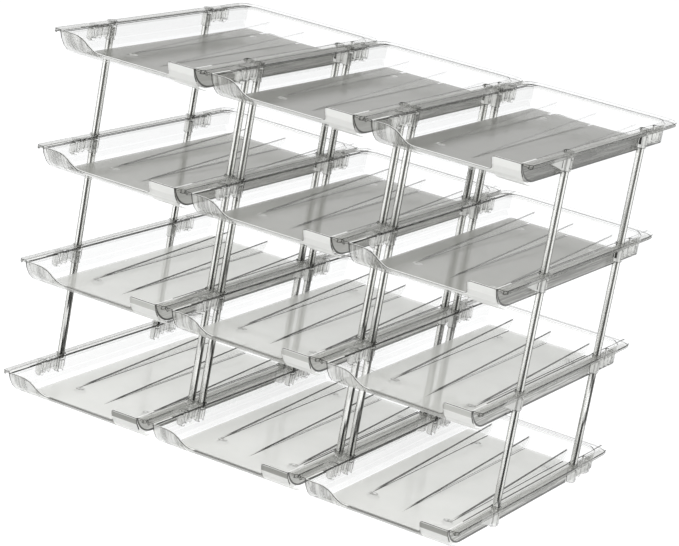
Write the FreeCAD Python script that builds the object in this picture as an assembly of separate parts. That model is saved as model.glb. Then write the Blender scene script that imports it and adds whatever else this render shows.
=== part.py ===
import FreeCAD, Part
import math
import os

from FreeCAD import Vector

# Can organizer rack: three columns of four clear trays, stacked on round rods.
# Millimetres, +X to the right along the columns, +Y to the back, +Z up.
# The origin is on the standing surface, under the middle of the rack.

# How the rack is stacked
columns = ["left", "middle", "right"]
tiers = 4
tier_pitch = 97.3             # from one tray up to the next

# Straight steps that draw the curves, few because there are twelve trays and 36 rods
corner_steps = 4              # round each back corner
nose_steps = 5
s_curve_steps = 4             # for each of its two arcs
stop_steps = 3                # round the top and the foot of the stop
rod_sides = 12

# Tray
inner_width = 124.0           # between the side walls, for a can lying across
tray_depth = 308.0            # front of the nose to the back of the rim
inner_height = 19.0           # floor to the top of the rim
wall = 1.8                    # side and back walls
floor_thickness = 2.0         # floor and nose
nose_radius = 30.0            # outer radius of the rounded front
side_rim_width = 9.5          # from the inner face of a side wall
back_rim_width = 12.0         # from the inner face of the back wall
rim_thickness = 1.8
rim_setback = 2.0             # from the front of the nose to the rim's ends
rim_end_cut = 2.5             # corner taken off each front end, at 45 degrees
rim_corner_radius = 16.0
lip_thickness = 1.2           # turned-down edge of the rim
lip_drop = 3.2
corner_radius = 10.0          # inside, between back and side walls
floor_slope = 6.0             # sloped edge inside, between walls and floor

# Cut-out in the front, with a high shoulder on the left and a stop on the right
front_lip_height = 6.5        # what is left of the front above the floor
shoulder_width = 11.0         # full height, from the left wall to the S-curve
s_curve_width = 23.0
s_curve_share = 0.62          # share of the S-curve that the upper arc takes
stop_width = 23.5             # stop beside the right wall
stop_top_radius = 3.0
stop_foot_radius = 4.5

# Three ramps that tilt the cans to the front
ramp_count = 3
ramp_spacing = 36.6
ramp_thickness = 1.6
ramp_height = 9.8             # at the back wall
ramp_start_outer = 62.0       # from the front of the nose
ramp_start_middle = 52.0

# Feet
foot_width = 9.0              # eight-sided pads
foot_height = 0.8
foot_spacing_x = 68.0
foot_front = 68.0             # from the front of the nose
foot_rear_margin = 46.0       # from the back of the rim

# Rods and their sockets
rod_diameter = 6.0
rod_clearance = 0.1           # between rod and each flat of the bore
rod_offset = 4.5              # from the inner face of a side wall
rod_front = 81.0              # from the front of the nose
rod_rear_margin = 73.0        # from the back of the rim
socket_width = 8.6            # eight-sided outside, six-sided bore
socket_depth = 15.0           # below the top of the rim
socket_collar = 1.2           # above the top of the rim
upper_bore_depth = 3.0        # below the top of the rim
bore_web = 1.5                # between upper and lower bore
slot_width = 1.4              # slot in the outer side of a socket
slot_top = 5.5                # below the top of the rim
slot_bottom = 12.5

# Spare sockets and the ribs beside them
spare_distance = 28.0         # from the rod's socket
spare_depth = 14.0
spare_chamfer = 2.0
spare_bore_depth = 11.0
rib_thickness = 1.2
rib_depth = 12.0
rib_count = 2
web_thickness = 1.5
web_depth = 10.0
gusset_length = 34.0
gusset_tip_depth = 5.0

# Worked out from the sizes above
half_inner = inner_width / 2
half_outer = half_inner + wall
half_rim = half_inner + side_rim_width
column_pitch = 2 * half_rim   # neighbouring columns stand rim to rim
back_inner = tray_depth - back_rim_width
back_outer = back_inner + wall
tray_bottom = -(inner_height + floor_thickness)
nose_centre_z = tray_bottom + nose_radius
nose_centre_y = math.sqrt(nose_radius ** 2 - nose_centre_z ** 2)
rod_x = half_inner + rod_offset
rod_rear = tray_depth - rod_rear_margin
foot_rear = tray_depth - foot_rear_margin
bore_width = rod_diameter + 2 * rod_clearance
bore_reach = bore_width / 2 / math.cos(math.pi / 6)
lower_bore_top = upper_bore_depth + bore_web
rod_length = tier_pitch - lower_bore_top + upper_bore_depth
first_rim_z = foot_height - tray_bottom
past = 1.0                    # how far a cutting tool runs past the face it opens


def box(x0, x1, y0, y1, z0, z1):
    """Block between two corners."""
    return Part.makeBox(x1 - x0, y1 - y0, z1 - z0, Vector(x0, y0, z0))


def face(points):
    return Part.Face(Part.makePolygon(points + points[:1]))


def prism(sides, width, x, y, z0, z1):
    """Upright prism with even sides, width across its flats, one of them towards +X."""
    reach = width / 2 / math.cos(math.pi / sides)
    angles = [(k + 0.5) * 2 * math.pi / sides for k in range(sides)]
    ring = [Vector(x + reach * math.cos(a), y + reach * math.sin(a), z0) for a in angles]
    return face(ring).extrude(Vector(0, 0, z1 - z0))


def arc(centre, radius, first, last, steps):
    """Pairs along an arc from the first to the last angle in degrees."""
    angles = [math.radians(first + (last - first) * k / steps) for k in range(steps + 1)]
    return [(centre[0] + radius * math.cos(a), centre[1] + radius * math.sin(a)) for a in angles]


def plate(half_width, back, radius, front_ends, z0, z1):
    """Even plate with two rounded back corners, front_ends being its points on the right front."""
    right = front_ends + arc((half_width - radius, back - radius), radius, 0, 90, corner_steps)
    left = [(-x, y) for x, y in reversed(right)]
    return face([Vector(x, y, z0) for x, y in right + left]).extrude(Vector(0, 0, z1 - z0))


def nose_prism(radius, bottom, top, half_width):
    """Side profile with the rounded front, drawn out along X."""
    top_angle = 180 + math.degrees(math.asin((nose_centre_z - top) / radius))
    curve = arc((nose_centre_y, nose_centre_z), radius, top_angle, 270, nose_steps)
    far = tray_depth + nose_radius
    outline = curve + [(far, bottom), (far, top)]
    points = [Vector(-half_width, y, z) for y, z in outline]
    return face(points).extrude(Vector(2 * half_width, 0, 0))


def outer_form():
    start = (half_outer, -past)
    form = plate(half_outer, back_outer, corner_radius + wall, [start], tray_bottom, 0)
    return form.common(nose_prism(nose_radius, tray_bottom, 0, half_rim))


def inner_form():
    """Hollow of the tray, with sloped edges along its floor."""
    start = (half_inner, -past)
    block = plate(half_inner, back_inner, corner_radius, [start], -inner_height, past)
    low = [e for e in block.Edges
           if e.BoundBox.ZMax < -inner_height + 1e-6 and e.BoundBox.YMax > -past + 1e-6]
    form = block.makeChamfer(floor_slope, low)
    return form.common(nose_prism(nose_radius - floor_thickness, -inner_height, past, half_rim))


def rim_plate(inset, z0, z1):
    """Plan of the rim, drawn in by inset at the sides, the back and the cut front corners."""
    half_width = half_rim - inset
    start = (half_rim - rim_end_cut - inset * math.sqrt(2), rim_setback)
    end = (half_width, rim_setback + half_width - start[0])
    return plate(half_width, tray_depth - inset, rim_corner_radius - inset, [start, end], z0, z1)


def rim():
    """Outward rim on both sides and the back, with its edge turned down."""
    hollow = rim_plate(lip_thickness, -lip_drop, -rim_thickness)
    return rim_plate(0, -lip_drop, 0).cut(hollow)


def front_cutout():
    """Opening in the front: S-curve on the left, upright stop on the right."""
    lip_z = front_lip_height - inner_height
    both_radii = (s_curve_width ** 2 + lip_z ** 2) / (-2 * lip_z)
    upper_radius = both_radii * s_curve_share
    lower_radius = both_radii - upper_radius
    turn = math.degrees(2 * math.atan(-lip_z / s_curve_width))
    stop_x = inner_width - stop_width

    upper_centre = (shoulder_width, -upper_radius)
    lower_centre = (shoulder_width + s_curve_width, lip_z + lower_radius)
    foot_centre = (stop_x - stop_foot_radius, lip_z + stop_foot_radius)
    top_centre = (stop_x + stop_top_radius, -stop_top_radius)
    outline = arc(upper_centre, upper_radius, 90, 90 - turn, s_curve_steps)
    outline += arc(lower_centre, lower_radius, 270 - turn, 270, s_curve_steps)[1:]
    outline += arc(foot_centre, stop_foot_radius, -90, 0, stop_steps)
    outline += arc(top_centre, stop_top_radius, 180, 90, stop_steps)
    outline += [(top_centre[0], past), (shoulder_width, past)]
    points = [Vector(-half_inner + x, -past, z) for x, z in outline]
    return face(points).extrude(Vector(0, past + nose_radius, 0))


def ramp(index):
    """Thin wedge that rises from the floor to the back wall."""
    from_middle = index - (ramp_count - 1) / 2
    x0 = from_middle * ramp_spacing - ramp_thickness / 2
    start = ramp_start_middle if abs(from_middle) < 0.6 else ramp_start_outer
    root = -inner_height - floor_thickness / 2
    back = back_inner + wall / 2

    corners = [(start, root), (back, root), (back, ramp_height - inner_height), (start, -inner_height)]
    points = [Vector(x0, y, z) for y, z in corners]
    return face(points).extrude(Vector(ramp_thickness, 0, 0))


def feet():
    places = [(side * foot_spacing_x / 2, y) for side in (-1, 1) for y in (foot_front, foot_rear)]
    overlap = floor_thickness / 2
    return [prism(8, foot_width, x, y, tray_bottom - foot_height, tray_bottom + overlap)
            for x, y in places]


def socket_slot(side, y):
    """Narrow window in the outer side of a socket."""
    x = side * rod_x
    far = x + side * (socket_width / 2 + past)
    return box(min(x, far), max(x, far), y - slot_width / 2, y + slot_width / 2,
               -slot_bottom, -slot_top)


def rod_socket(side, y):
    body = prism(8, socket_width, side * rod_x, y, -socket_depth, socket_collar)
    lower = prism(6, bore_width, side * rod_x, y, -socket_depth - past, -lower_bore_top)
    upper = prism(6, bore_width, side * rod_x, y, -upper_bore_depth, socket_collar + past)
    return [body], [lower, upper, socket_slot(side, y)]


def spare_socket(side, y):
    """Second socket, closed at the bottom, that this stacking leaves empty."""
    body = prism(8, socket_width, side * rod_x, y, -spare_depth, 0)
    rims = [e for e in body.Edges if e.BoundBox.ZMax < -spare_depth + 1e-6]
    body = body.makeChamfer(spare_chamfer, rims)
    bore = prism(6, bore_width, side * rod_x, y, -spare_bore_depth, past)
    return [body], [bore, socket_slot(side, y)]


def ribs(side, rod_y, toward):
    """Cross ribs and one web between a rod's socket and the spare one."""
    inner, outer = half_inner + wall / 2, half_rim - lip_thickness / 2
    span = spare_distance / (rib_count + 1)
    solids = []
    for number in range(1, rib_count + 1):
        y = rod_y + toward * span * number
        xs = sorted((side * inner, side * outer))
        solids.append(box(xs[0], xs[1], y - rib_thickness / 2, y + rib_thickness / 2,
                          -rib_depth, -rim_thickness / 2))
    clear_of_bore = (bore_reach + socket_width / 2) / 2
    ends = sorted((rod_y + toward * clear_of_bore, rod_y + toward * (spare_distance - clear_of_bore)))
    x = side * rod_x
    solids.append(box(x - web_thickness / 2, x + web_thickness / 2, ends[0], ends[1],
                      -web_depth, -rim_thickness / 2))
    return solids


def gusset(side, rod_y):
    """Tapered web in front of the one socket that has no spare beside it."""
    x0 = side * rod_x - web_thickness / 2
    near = rod_y - (bore_reach + socket_width / 2) / 2
    tip = rod_y - gusset_length
    root = -rim_thickness / 2
    corners = [(near, root), (near, -socket_depth), (tip, -gusset_tip_depth), (tip, root)]
    points = [Vector(x0, y, z) for y, z in corners]
    return face(points).extrude(Vector(web_thickness, 0, 0))


def side_fittings():
    """Everything under the rim: solids to add, and bores and slots to cut."""
    added, removed = [], []
    for side in (-1, 1):
        for rod_y, toward in ((rod_front, -1), (rod_rear, 1)):
            groups = [rod_socket(side, rod_y)]
            if side == 1 and toward == -1:
                added.append(gusset(side, rod_y))
            else:
                groups.append(spare_socket(side, rod_y + toward * spare_distance))
                added += ribs(side, rod_y, toward)
            for solids, cuts in groups:
                added += solids
                removed += cuts
    return added, removed


def tray():
    """One moulding, its rim's top at z = 0 and its nose at y = 0."""
    cavity = inner_form()
    added, removed = side_fittings()
    shell = outer_form().fuse(rim()).cut(cavity).cut(front_cutout())
    ramps = [ramp(index) for index in range(ramp_count)]
    solid = shell.fuse(ramps + feet() + added).cut(removed)
    return solid.removeSplitter()


def rod():
    """One clear rod, standing on z = 0, its flats along those of the bores."""
    return prism(rod_sides, rod_diameter, 0, 0, 0, rod_length)


def write(name, shape, x, y, z):
    placed = shape.copy()
    placed.translate(Vector(x, y, z))
    solids = placed.Solids
    assert len(solids) == 1 and solids[0].isValid(), name
    solids[0].exportStep(os.path.join("parts", name + ".step"))


def build():
    os.makedirs("parts", exist_ok=True)
    one_tray, one_rod = tray(), rod()
    front = -tray_depth / 2
    middle = (len(columns) - 1) / 2
    for number, column in enumerate(columns):
        x = (number - middle) * column_pitch
        for tier in range(tiers):
            rim_z = first_rim_z + tier * tier_pitch
            write(f"tray_{column}_{tier + 1}", one_tray, x, front, rim_z)
            if tier == tiers - 1:
                continue
            for side_name, side in (("left", -1), ("right", 1)):
                for end_name, y in (("front", rod_front), ("rear", rod_rear)):
                    name = f"rod_{column}_{tier + 1}_{end_name}_{side_name}"
                    write(name, one_rod, x + side * rod_x, front + y, rim_z - upper_bore_depth)


build()
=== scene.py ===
import math

import bpy
from mathutils import Matrix, Vector

# Looks of the clear can organizer rack: materials of trays and rods, white floor and background, lamps,
# camera. Metres, in the frame of the part: origin on the floor under the middle, +Y to the back.

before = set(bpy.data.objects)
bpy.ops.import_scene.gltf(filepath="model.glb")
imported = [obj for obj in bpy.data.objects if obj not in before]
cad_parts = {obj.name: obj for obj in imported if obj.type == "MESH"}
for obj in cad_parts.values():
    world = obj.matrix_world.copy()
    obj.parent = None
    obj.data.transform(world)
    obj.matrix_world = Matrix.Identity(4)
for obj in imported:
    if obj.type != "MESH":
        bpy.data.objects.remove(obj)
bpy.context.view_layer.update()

# Sizes of the rack
TIERS = 4
COLUMN_PITCH = 0.143
TIER_PITCH = 0.0973
FIRST_RIM_Z = 0.0218
FRONT_Y = -0.154

# Clear plastic
PLASTIC_IOR = 1.49
PLASTIC_ROUGHNESS = 0.12
PLASTIC_SPECULAR = 0.2
SHARE_HELD_BACK = 0.85

# Painted shade: dark lines along the edges, which clear plastic shows there by bent light
EDGE_WIDTH = 0.0005
EDGE_ANGLE = math.radians(40)

# Greys, shares and alphas that the photo shows, from the lowest tier to the highest
# Most of these greys and alphas set painted light: painted shade, painted highlights and painted
# reflections that differ by tier, for one and the same clear plastic.
FLOOR_REFLECTION_GREYS = [0.81, 0.70, 0.37, 0.262]
FLOOR_ALPHAS = [0.62, 0.62, 0.80, 0.92]
FLOOR_END_SHADE_SHARES = [0.0, 0.0, 0.70, 0.85]
PAD_SHADE_AND_HIGHLIGHT_GREYS = [0.30, 0.30, 0.60, 0.62]
WALL_SHADE_GREYS = [0.35, 0.32, 0.24, 0.17]
STREAK_HIGHLIGHT_GREYS = [0.62, 0.62, 0.40, 0.40]
STREAK_HIGHLIGHT_SHARES = [0.85, 0.75, 0.55, 0.35]
STOP_LIGHT_AND_SHADE_GREYS = [0.34, 0.60, 0.93, 0.96]
LIP_LIGHT_AND_SHADE_GREYS = [0.22, 0.38, 0.96, 0.98]
LIP_UNDERLINE_SHADE_ALPHAS = [0.55, 0.50, 0.26, 0.22]
LIP_EDGE_SHADE_ALPHAS = [0.94, 0.94, 0.30, 0.26]
RAMP_SIDE_ALPHAS = [0.26, 0.22, 0.12, 0.05]
RAMP_TOP_SHADE_ALPHAS = [0.85, 0.75, 0.30, 0.08]
RAMP_EDGE_ALPHAS = [0.95, 0.90, 0.60, 0.18]
RIM_SHADE_LINE_ALPHAS = [0.85, 0.85, 0.50, 0.30]
RIM_LIP_SHADE_ALPHAS = [0.35, 0.40, 0.80, 0.90]
SOCKET_ALPHAS = [0.36, 0.35, 0.38, 0.42]
SOCKET_EDGE_ALPHAS = [0.36, 0.35, 0.36, 0.35]

# How far below the rim's top the side walls end in the photo, and the height of the dark line there
WALL_BOTTOMS = [0.0162, 0.0177, 0.0178, 0.0176]
# The dark line at the walls' bottom is painted shade.
BOTTOM_SHADE_LINES = [0.0021, 0.0020, 0.0013, 0.0013]

# Pairs below say where a look is not there yet, and where it is there in full. They are given sideways
# from the middle of a column, across it with the sign, inward from the front, or in depth below the rim's
# top. Those for normals are given in one coordinate of the surface's normal.
FLAT_NORMAL = (0.93, 0.97)
UPRIGHT_NORMAL = (0.85, 0.95)
INSIDE_OUTER_FACE = (0.0643, 0.0640)


def grey(value):
    """Slightly warm grey, the warmer the darker it is."""
    return (value, value, value * (0.90 + 0.07 * value))


class Tree:
    """Short ways to fill the node tree of a material or world."""

    def __init__(self, owner, output="ShaderNodeOutputMaterial"):
        owner.use_nodes = True
        self.owner = owner
        self.tree = owner.node_tree
        self.tree.nodes.clear()
        self.out = self.node(output)

    def node(self, kind, **settings):
        made = self.tree.nodes.new(kind)
        for key, value in settings.items():
            setattr(made, key, value)
        return made

    def put(self, socket, value):
        if isinstance(value, bpy.types.NodeSocket):
            self.tree.links.new(value, socket)
        elif value is not None:
            socket.default_value = value

    def math(self, operation, a, b=None, c=None):
        made = self.node("ShaderNodeMath", operation=operation)
        for socket, value in zip(made.inputs, (a, b, c)):
            self.put(socket, value)
        return made.outputs[0]

    def both(self, *masks):
        """Product of the masks: where all of them are."""
        product = masks[0]
        for mask in masks[1:]:
            product = self.math("MULTIPLY", product, mask)
        return product

    def either(self, *masks):
        """Largest of the masks: where any of them is."""
        largest = masks[0]
        for mask in masks[1:]:
            largest = self.math("MAXIMUM", largest, mask)
        return largest

    def without(self, mask):
        return self.math("SUBTRACT", 1.0, mask)

    def off(self, value, middle):
        """How far the value is off the middle, on either side."""
        return self.math("ABSOLUTE", self.math("SUBTRACT", value, middle))

    def hypotenuse(self, a, b):
        return self.math("SQRT", self.math("ADD", self.math("POWER", a, 2.0), self.math("POWER", b, 2.0)))

    def step(self, value, low, high, to_low=0.0, to_high=1.0):
        """Smooth change from to_low at low to to_high at high."""
        made = self.node("ShaderNodeMapRange", interpolation_type="SMOOTHSTEP")
        for socket, v in zip(made.inputs, (value, low, high, to_low, to_high)):
            self.put(socket, v)
        return made.outputs[0]

    def mix(self, share, a, b):
        made = self.node("ShaderNodeMix", data_type="RGBA")
        self.put(made.inputs[0], share)
        self.put(made.inputs[6], a if isinstance(a, bpy.types.NodeSocket) else (*a, 1))
        self.put(made.inputs[7], b if isinstance(b, bpy.types.NodeSocket) else (*b, 1))
        return made.outputs[2]

    def blend(self, share, a, b):
        made = self.node("ShaderNodeMix", data_type="FLOAT")
        for socket, v in zip((made.inputs[0], made.inputs[2], made.inputs[3]), (share, a, b)):
            self.put(socket, v)
        return made.outputs[0]

    def noise(self, vector, scale, detail=3.0):
        made = self.node("ShaderNodeTexNoise")
        self.put(made.inputs["Vector"], vector)
        made.inputs["Scale"].default_value = scale
        made.inputs["Detail"].default_value = detail
        return made.outputs[0]

    def scaled(self, vector, scale):
        made = self.node("ShaderNodeMapping")
        self.put(made.inputs["Vector"], vector)
        made.inputs["Scale"].default_value = scale
        return made.outputs[0]

    def split(self, vector):
        made = self.node("ShaderNodeSeparateXYZ")
        self.put(made.inputs[0], vector)
        return made.outputs[0], made.outputs[1], made.outputs[2]

    def place(self):
        """Position in the part's own frame, as one vector."""
        return self.node("ShaderNodeTexCoord").outputs["Object"]

    def facing(self):
        made = self.node("ShaderNodeLayerWeight")
        made.inputs[0].default_value = 0.5
        return made.outputs["Facing"]

    def seen(self):
        """1 for the camera and for what gloss and glass show of it, 0 for light on other things."""
        rays = self.node("ShaderNodeLightPath").outputs
        return self.either(rays["Is Camera Ray"], rays["Is Glossy Ray"], rays["Is Transmission Ray"])

    def lets_light_through(self, alpha):
        """Alpha for the eye, and much less of it for lamps and for light from around."""
        rays = self.node("ShaderNodeLightPath").outputs
        other = self.either(rays["Is Shadow Ray"], rays["Is Diffuse Ray"])
        return self.both(alpha, self.without(self.both(other, SHARE_HELD_BACK)))

    def principled(self, color, alpha, roughness, specular, metallic=0.0):
        made = self.node("ShaderNodeBsdfPrincipled")
        self.put(made.inputs["Base Color"], color)
        self.put(made.inputs["Alpha"], self.lets_light_through(alpha))
        made.inputs["Roughness"].default_value = roughness
        made.inputs["IOR"].default_value = PLASTIC_IOR
        made.inputs["Specular IOR Level"].default_value = specular
        made.inputs["Metallic"].default_value = metallic
        self.put(self.out.inputs["Surface"], made.outputs[0])
        return self.owner


class TrayTree(Tree):
    """Material of one tier's trays: places on a tray, and painted light and shade of that tier laid over
    each other there.
    """

    def __init__(self, name, tier):
        super().__init__(bpy.data.materials.new(name))
        self.tier = tier
        self.where = self.place()
        self.x, y, z = self.split(self.where)
        self.across = self.math("WRAP", self.x, COLUMN_PITCH / 2, -COLUMN_PITCH / 2)
        self.sideways = self.math("ABSOLUTE", self.across)
        self.inward = self.math("SUBTRACT", y, FRONT_Y)
        self.depth = self.math("SUBTRACT", FIRST_RIM_Z + tier * TIER_PITCH, z)

    def read_surface(self):
        geometry = self.node("ShaderNodeNewGeometry").outputs
        self.from_outside = self.without(geometry["Backfacing"])
        self.normal_x, self.normal_y, self.normal_z = self.split(geometry["Normal"])
        self.slant = self.math("ABSOLUTE", self.normal_x)
        self.flat = self.step(self.math("ABSOLUTE", self.normal_z), *FLAT_NORMAL)
        self.cloud = self.step(self.noise(self.where, 22.0), 0.3, 0.7)

    def start(self, color, alpha):
        self.color, self.alpha = color, alpha

    def paint(self, mask, color, alpha):
        """Lay a colour and an alpha over what is there, where the mask is 1. None leaves it as it is."""
        if color is not None:
            self.color = self.mix(mask, self.color, color)
        if alpha is not None:
            self.alpha = self.blend(mask, self.alpha, alpha)

    def finished(self):
        return self.principled(self.color, self.alpha, PLASTIC_ROUGHNESS, PLASTIC_SPECULAR)


def paint_walls_inside(t):
    """Walls and the sloped edges beside the floor, as seen from inside, in a painted light grey shade."""
    inner = t.both(t.step(t.slant, 0.60, 0.66), t.step(t.sideways, 0.0552, 0.0556),
                   t.step(t.sideways, *INSIDE_OUTER_FACE), t.step(t.depth, 0.0200, 0.0190))
    t.paint(inner, grey(0.42), 0.12)


def paint_rim(t):
    """Rim, with painted shade: grey at the sides, a dark lower line on its turned-down lip, and a dark line
    along its inner edge.
    """
    rim = t.step(t.depth, 0.0036, 0.0032)
    at_side = t.both(t.step(t.sideways, 0.0640, 0.0645), t.step(t.inward, 0.2965, 0.2955))
    low_lip = t.both(t.step(t.depth, 0.0024, 0.0027), t.without(t.flat))
    plain, lined = t.blend(at_side, 0.06, 0.34), t.blend(at_side, 0.30, RIM_LIP_SHADE_ALPHAS[t.tier])
    t.paint(t.both(rim, at_side), t.mix(low_lip, grey(0.45), grey(0.10)), None)
    t.paint(rim, None, t.blend(low_lip, plain, lined))
    line = t.both(t.step(t.sideways, 0.0616, 0.0619), t.step(t.sideways, 0.0634, 0.0631),
                  t.flat, t.step(t.depth, 0.0008, 0.0005))
    t.paint(line, grey(0.05), RIM_SHADE_LINE_ALPHAS[t.tier])


def paint_sockets(t):
    """Whitish sockets, with the slots in the right-hand ones of the two upper tiers painted dark as shade.
    """
    socket = t.both(t.step(t.sideways, 0.0643, 0.0647), t.step(t.depth, 0.0032, 0.0036))
    t.paint(socket, grey(0.97), SOCKET_ALPHAS[t.tier])
    if t.tier < 2:
        return
    half_length, half_width, half_height = (0.0010, 0.0007), (0.0013, 0.0010), (0.0034, 0.0030)
    first, second, on_gusset = [t.step(t.off(t.inward, place), *half_length)
                                for place in (0.2307, 0.2587, 0.0718)]
    front_face = t.both(t.step(t.off(t.across, 0.0665), *half_width), t.step(t.normal_y, -0.7, -0.8))
    slots = t.either(t.both(front_face, t.either(first, second)),
                     t.both(on_gusset, t.step(t.across, 0.0668, 0.0671)))
    slots = t.both(slots, t.step(t.off(t.depth, 0.0085), *half_height))
    t.paint(slots, grey(0.02), 0.96)


def paint_ramps(t):
    """Ramps are thin: their sides catch light, and their tops are painted dark lines of shade."""
    among_ramps = t.step(t.sideways, 0.0440, 0.0420)
    sides = t.both(t.step(t.slant, *UPRIGHT_NORMAL), among_ramps, t.step(t.inward, 0.046, 0.050))
    t.paint(sides, None, RAMP_SIDE_ALPHAS[t.tier])
    tops = t.both(t.flat, among_ramps, t.step(t.inward, 0.050, 0.054), t.step(t.inward, 0.2950, 0.2940),
                  t.step(t.depth, 0.0187, 0.0184))
    t.paint(tops, grey(0.05), RAMP_TOP_SHADE_ALPHAS[t.tier])


def paint_walls_outside(t):
    """Side walls show painted shade from outside, darker on the upper tiers, with long painted streaks of
    light and shade, and painted dark lines of shade below and along the nose. Past these lines they are
    clear, because the photo's walls end there."""
    outward = t.math("MULTIPLY", t.normal_x, t.math("SIGN", t.across))
    outer = t.both(t.step(outward, 0.55, 0.65), t.step(t.sideways, 0.0560, 0.0563),
                   t.step(t.sideways, *INSIDE_OUTER_FACE), t.from_outside)
    along = t.scaled(t.where, (1.0, 0.03, 1.0))
    broad = t.step(t.noise(along, 260.0, 2.0), 0.40, 0.62)
    fine = t.step(t.noise(along, 760.0, 2.0), 0.48, 0.60)
    streaks = t.mix(broad, grey(WALL_SHADE_GREYS[t.tier]), grey(WALL_SHADE_GREYS[t.tier] * 0.66))
    streaks = t.mix(t.both(fine, STREAK_HIGHLIGHT_SHARES[t.tier]), streaks, grey(STREAK_HIGHLIGHT_GREYS[t.tier]))

    # The nose's curve, an ellipse that ends at the bottom line
    centre_inward, centre_up, radius = 0.02862, 0.009, 0.030
    bottom = WALL_BOTTOMS[t.tier]
    line_top = bottom - BOTTOM_SHADE_LINES[t.tier]
    down = t.math("MULTIPLY", t.math("ADD", t.depth, centre_up), radius / (bottom + centre_up))
    from_centre = t.hypotenuse(t.math("SUBTRACT", t.inward, centre_inward), down)
    in_front = t.step(t.inward, 0.0300, 0.0280)
    # Painted shade: dark lines along the nose's curve and along the walls' bottom
    dark = t.either(t.both(t.step(from_centre, 0.0282, 0.0287), in_front),
                    t.step(t.depth, line_top, line_top + 0.0004))
    clear = t.either(t.both(t.step(from_centre, 0.0299, 0.0303), in_front),
                     t.step(t.depth, bottom - 0.0001, bottom + 0.0003))

    # Painted light: of the left and the middle column, the front ends are painted lighter
    painted_light_end = t.both(t.step(t.inward, 0.060, 0.028), t.step(t.x, 0.073, 0.070, 0.0, 0.72))
    streaks = t.mix(painted_light_end, streaks, grey(0.50))
    streaks = t.mix(dark, streaks, grey(0.045))
    t.paint(outer, t.mix(clear, streaks, grey(0.90)), t.blend(clear, t.blend(dark, 0.78, 0.96), 0.04))


def paint_nose(t):
    """The rounded nose, with painted light and shade: dark streaks and a dark outline on the shoulder at
    its left, a dark line under the lip, a strip along the lip that is dark on the lower tiers and white on
    the upper ones, and a stop that is white on the upper tiers and grey lower down.
    """
    nose = t.both(t.step(t.inward, 0.0290, 0.0270), t.step(t.sideways, 0.0640, 0.0634),
                  t.step(t.slant, 0.6, 0.4))
    t.paint(nose, grey(0.95), 0.16)
    underline = t.both(nose, t.step(t.depth, 0.0156, 0.0159), t.step(t.depth, 0.0168, 0.0165))
    t.paint(underline, grey(0.10), LIP_UNDERLINE_SHADE_ALPHAS[t.tier])
    lip = t.both(nose, t.step(t.depth, 0.0156, 0.0152))
    t.paint(lip, grey(LIP_LIGHT_AND_SHADE_GREYS[t.tier]), 0.82)
    stop = t.both(nose, t.step(t.across, 0.0384, 0.0392))
    strip = t.both(t.step(t.depth, 0.0008, 0.0014), t.step(t.depth, 0.0066, 0.0058))
    t.paint(stop, t.mix(strip, grey(0.96), grey(STOP_LIGHT_AND_SHADE_GREYS[t.tier])), 0.80)
    shoulder = t.both(nose, t.step(t.across, -0.026, -0.030))
    lines = t.step(t.noise(t.scaled(t.where, (1.0, 0.06, 0.06)), 420.0, 2.0), 0.42, 0.58)
    t.paint(shoulder, t.mix(lines, grey(0.80), grey(0.30)), 0.46)
    outline = t.both(shoulder, t.step(t.across, -0.0624, -0.0627))
    t.paint(outline, grey(0.03), 0.85)


def paint_cut_edge_highlight(t):
    """The cut edge along the S-curve is white, a painted highlight."""
    cut = t.both(t.step(t.inward, 0.0290, 0.0285), t.step(t.across, -0.026, -0.028),
                 t.step(t.across, -0.0640, -0.0636), t.step(t.depth, 0.0128, 0.0124),
                 t.step(t.math("ABSOLUTE", t.normal_y), 0.20, 0.15), t.step(t.normal_z, 0.25, 0.35))
    t.paint(cut, grey(0.98), 0.85)


def paint_floor(t):
    """The flat of the floor is painted grey, a painted reflection that is darker on the upper tiers, with
    marks where the foot pads are.
    """
    floor = t.both(t.flat, t.step(t.depth, 0.0178, 0.0186), t.step(t.sideways, 0.0572, 0.0564),
                   t.step(t.inward, 0.2915, 0.2900))
    if t.tier > 1:
        # The underside stays clear under the lip, where it would show through
        under_lip = t.both(t.step(t.depth, 0.0196, 0.0200), t.step(t.inward, 0.037, 0.033))
        floor = t.both(floor, t.without(under_lip))
    pad_sideways, pads_middle, pads_half_span = 0.034, 0.165, 0.097
    from_pad = t.hypotenuse(t.math("SUBTRACT", t.sideways, pad_sideways),
                            t.math("SUBTRACT", t.off(t.inward, pads_middle), pads_half_span))
    # The foot pads show through the floor as painted shade on the lower tiers and as painted highlights on
    # the upper ones
    mark = t.both(t.step(from_pad, 0.0044, 0.0036), t.step(t.noise(t.where, 420.0), 0.38, 0.60, 0.25, 0.95))
    by_lip = t.both(t.step(t.inward, 0.0335, 0.0315), t.step(t.across, 0.0390, 0.0384))
    color = t.mix(t.cloud, grey(FLOOR_REFLECTION_GREYS[t.tier]), grey(FLOOR_REFLECTION_GREYS[t.tier] * 0.95))
    color = t.mix(mark, color, grey(PAD_SHADE_AND_HIGHLIGHT_GREYS[t.tier]))
    # Painted shade: a dark line at the floor's front end by the lip, on the two upper tiers
    color = t.mix(t.both(by_lip, FLOOR_END_SHADE_SHARES[t.tier]), color, grey(0.05))
    t.paint(floor, color, FLOOR_ALPHAS[t.tier])


def tray_material(tier):
    """Clear plastic with what the photo shows in it, painted by place: painted shade, painted highlights
    and painted reflections, which differ by tier.
    """
    t = TrayTree(f"clear_tray_painted_light_{tier + 1}", tier)
    t.read_surface()
    t.start(t.mix(t.cloud, grey(0.93), grey(0.86)), t.blend(t.step(t.facing(), 0.60, 0.98), 0.06, 0.24))
    paint_walls_inside(t)
    paint_rim(t)
    paint_sockets(t)
    paint_ramps(t)
    paint_walls_outside(t)
    paint_nose(t)
    paint_cut_edge_highlight(t)
    paint_floor(t)
    return t.finished()


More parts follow.
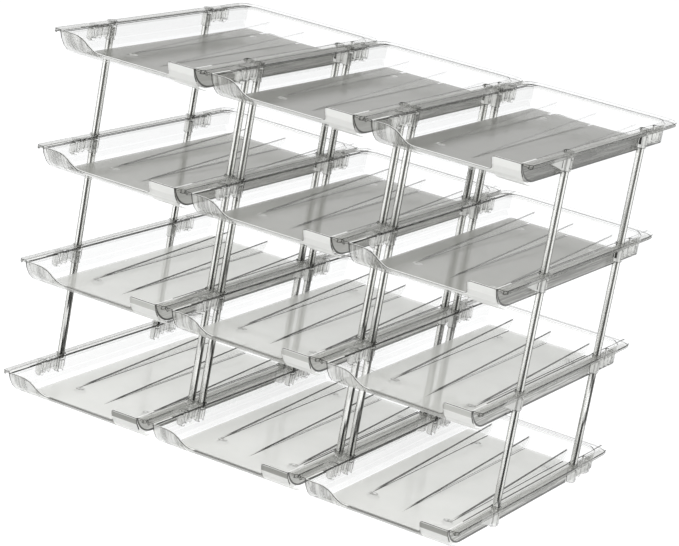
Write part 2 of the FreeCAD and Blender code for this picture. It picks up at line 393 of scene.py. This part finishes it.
def edge_shade_material(tier):
    """Painted shade: dark lines that clear plastic shows at its edges, fainter along the back wall."""
    t = TrayTree(f"clear_edge_shade_{tier + 1}", tier)
    spots = t.step(t.noise(t.where, 90.0), 0.35, 0.65)
    at_back = t.both(t.step(t.inward, 0.2930, 0.2960), t.step(t.sideways, 0.066, 0.062))
    t.start(t.mix(spots, grey(0.015), grey(0.08)), t.blend(at_back, 0.94, 0.34))

    among_ramps = t.step(t.sideways, 0.0450, 0.0430)
    ramp = t.both(among_ramps, t.step(t.inward, 0.046, 0.050), t.step(t.depth, 0.0082, 0.0090))
    t.paint(ramp, None, RAMP_EDGE_ALPHAS[tier])
    lip_edge = t.both(t.step(t.inward, 0.0290, 0.0270), t.step(t.depth, 0.0140, 0.0150))
    t.paint(lip_edge, None, LIP_EDGE_SHADE_ALPHAS[tier])
    rim_lip = t.both(t.step(t.sideways, 0.0690, 0.0700), t.step(t.depth, 0.0022, 0.0026),
                     t.step(t.depth, 0.0040, 0.0036))
    t.paint(rim_lip, None, RIM_LIP_SHADE_ALPHAS[tier])
    by_sockets = t.either(*[t.step(t.off(t.inward, middle), 0.0215, 0.0195) for middle in (0.067, 0.249)])
    t.paint(t.both(t.step(t.sideways, 0.0645, 0.0650), by_sockets), None, SOCKET_EDGE_ALPHAS[tier])

    # The sloped edges beside the floor and behind it show no lines, nor do the ramps' rear ends
    by_wall = t.either(t.step(t.sideways, 0.0450, 0.0480), t.step(t.inward, 0.2870, 0.2880))
    sloped = t.both(by_wall, t.step(t.depth, 0.0112, 0.0118), t.step(t.sideways, *INSIDE_OUTER_FACE))
    ramp_end = t.both(t.step(t.inward, 0.2920, 0.2930), among_ramps, t.step(t.depth, 0.0060, 0.0070))
    t.paint(t.either(sloped, ramp_end), None, 0.05)
    return t.finished()


def rod_material():
    """Clear rod: painted white highlights and painted dark shade in bands along it, as bent light gives,
    and painted dark outlines of shade.
    """
    t = Tree(bpy.data.materials.new("clear_rod"))
    where = t.place()
    z = t.split(where)[2]
    dot = t.node("ShaderNodeVectorMath", operation="DOT_PRODUCT")
    t.put(dot.inputs[0], t.node("ShaderNodeNewGeometry").outputs["Normal"])
    dot.inputs[1].default_value = (0.90, 0.437, 0.0)
    turn = dot.outputs["Value"]

    # The bands wander a little, and are further to one side low down, where the rod is also painted darker
    # as shade
    wander = t.noise(t.scaled(where, (1.0, 1.0, 0.5)), 30.0)
    sway = t.math("MULTIPLY", t.math("SUBTRACT", wander, 0.5), 0.9)
    low = t.step(z, 0.22, 0.08)
    at = t.math("SUBTRACT", t.math("ADD", turn, sway), t.math("MULTIPLY", low, 0.34))
    rod_shade_band = t.both(t.step(at, -0.32, -0.22), t.step(at, 0.34, 0.24))
    outline = t.step(t.facing(), 0.40, 0.62)
    color = t.mix(t.step(turn, 0.40, 0.90), grey(0.98), t.mix(low, grey(0.75), grey(0.30)))
    color = t.mix(rod_shade_band, color, t.mix(low, grey(0.10), grey(0.03)))
    color = t.mix(outline, color, grey(0.10))
    alpha = t.blend(t.either(outline, rod_shade_band), 0.62, 0.96)
    return t.principled(color, alpha, roughness=0.18, specular=0.5, metallic=0.8)


def assign(piece, *materials):
    piece.data.materials.clear()
    for material in materials:
        piece.data.materials.append(material)


def line_edges(piece):
    """Narrow chamfers on the sharp edges, which carry the second material, the painted dark lines of shade.
    """
    weld = piece.modifiers.new("weld", "WELD")
    weld.merge_threshold = 1e-6
    bevel = piece.modifiers.new("edge_lines", "BEVEL")
    bevel.width = EDGE_WIDTH
    bevel.segments = 1
    bevel.limit_method = "ANGLE"
    bevel.angle_limit = EDGE_ANGLE
    bevel.use_clamp_overlap = False
    bevel.material = 1


def white_world():
    """White to look at, and a plain soft light on the rack."""
    world = bpy.data.worlds.new("studio")
    bpy.context.scene.world = world
    t = Tree(world, "ShaderNodeOutputWorld")
    lit = t.node("ShaderNodeBackground")
    lit.inputs["Color"].default_value = (0.80, 0.81, 0.82, 1)
    lit.inputs["Strength"].default_value = 0.8
    white = t.node("ShaderNodeBackground")
    white.inputs["Color"].default_value = (1, 1, 1, 1)
    white.inputs["Strength"].default_value = 1.0
    mix = t.node("ShaderNodeMixShader")
    t.put(mix.inputs[0], t.seen())
    t.put(mix.inputs[1], lit.outputs[0])
    t.put(mix.inputs[2], white.outputs[0])
    t.put(t.out.inputs["Surface"], mix.outputs[0])


def white_floor():
    """Floor that keeps the rack's shadow and goes over into the white background."""
    size = 3.0
    mesh = bpy.data.meshes.new("floor")
    corners = [(-size, -size, 0), (size, -size, 0), (size, size, 0), (-size, size, 0)]
    mesh.from_pydata(corners, [], [(0, 1, 2, 3)])
    floor = bpy.data.objects.new("floor", mesh)
    bpy.context.scene.collection.objects.link(floor)
    t = Tree(bpy.data.materials.new("white_floor"))
    matt = t.node("ShaderNodeBsdfDiffuse")
    matt.inputs["Color"].default_value = (0.8, 0.8, 0.8, 1)
    glow = t.node("ShaderNodeEmission")
    glow.inputs["Color"].default_value = (1, 1, 1, 1)
    t.put(glow.inputs["Strength"], t.math("MULTIPLY", t.seen(), 0.45))
    both = t.node("ShaderNodeAddShader")
    t.put(both.inputs[0], matt.outputs[0])
    t.put(both.inputs[1], glow.outputs[0])
    t.put(t.out.inputs["Surface"], both.outputs[0])
    mesh.materials.append(t.owner)


def lamp(name, place, target, size, power):
    data = bpy.data.lights.new(name, "AREA")
    data.shape = "SQUARE"
    data.size = size
    data.energy = power
    made = bpy.data.objects.new(name, data)
    bpy.context.scene.collection.objects.link(made)
    made.location = place
    made.rotation_euler = (Vector(target) - Vector(place)).to_track_quat("-Z", "Y").to_euler()


def camera():
    """The photo's camera: from the front and right, a little above, and rolled."""
    azimuth, elevation, roll = math.radians(25.893), math.radians(15.386), math.radians(10.407)
    target = Vector((-0.062, -0.0499, 0.0218))
    place_from_target = Vector((0.100102, 0.106134, 2.223377))
    back = Vector((math.sin(azimuth) * math.cos(elevation),
                   -math.cos(azimuth) * math.cos(elevation), math.sin(elevation)))
    right = Vector((math.cos(azimuth), math.sin(azimuth), 0))
    up = back.cross(right)
    across = math.cos(roll) * right + math.sin(roll) * up
    upward = -math.sin(roll) * right + math.cos(roll) * up
    data = bpy.data.cameras.new("camera")
    data.sensor_fit = "HORIZONTAL"
    data.sensor_width = 36.0
    data.lens = 140.354
    made = bpy.data.objects.new("camera", data)
    bpy.context.scene.collection.objects.link(made)
    turn = Matrix((across, upward, back)).transposed()
    made.matrix_world = Matrix.Translation(target + turn @ place_from_target) @ turn.to_4x4()
    bpy.context.scene.camera = made


rods = rod_material()
trays = [(tray_material(tier), edge_shade_material(tier)) for tier in range(TIERS)]
for name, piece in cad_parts.items():
    if name.startswith("tray"):
        assign(piece, *trays[int(name.split("_")[2]) - 1])
        line_edges(piece)
    else:
        assign(piece, rods)

white_world()
white_floor()
lamp("key", place=(-1.2, -1.6, 2.2), target=(0, 0, 0.15), size=1.6, power=30)
lamp("fill", place=(1.9, -1.2, 1.4), target=(0, 0, 0.15), size=1.4, power=14)
camera()
bpy.context.scene.cycles.transparent_max_bounces = 96
bpy.context.scene.cycles.use_light_tree = False
bpy.context.scene.view_settings.view_transform = "Standard"
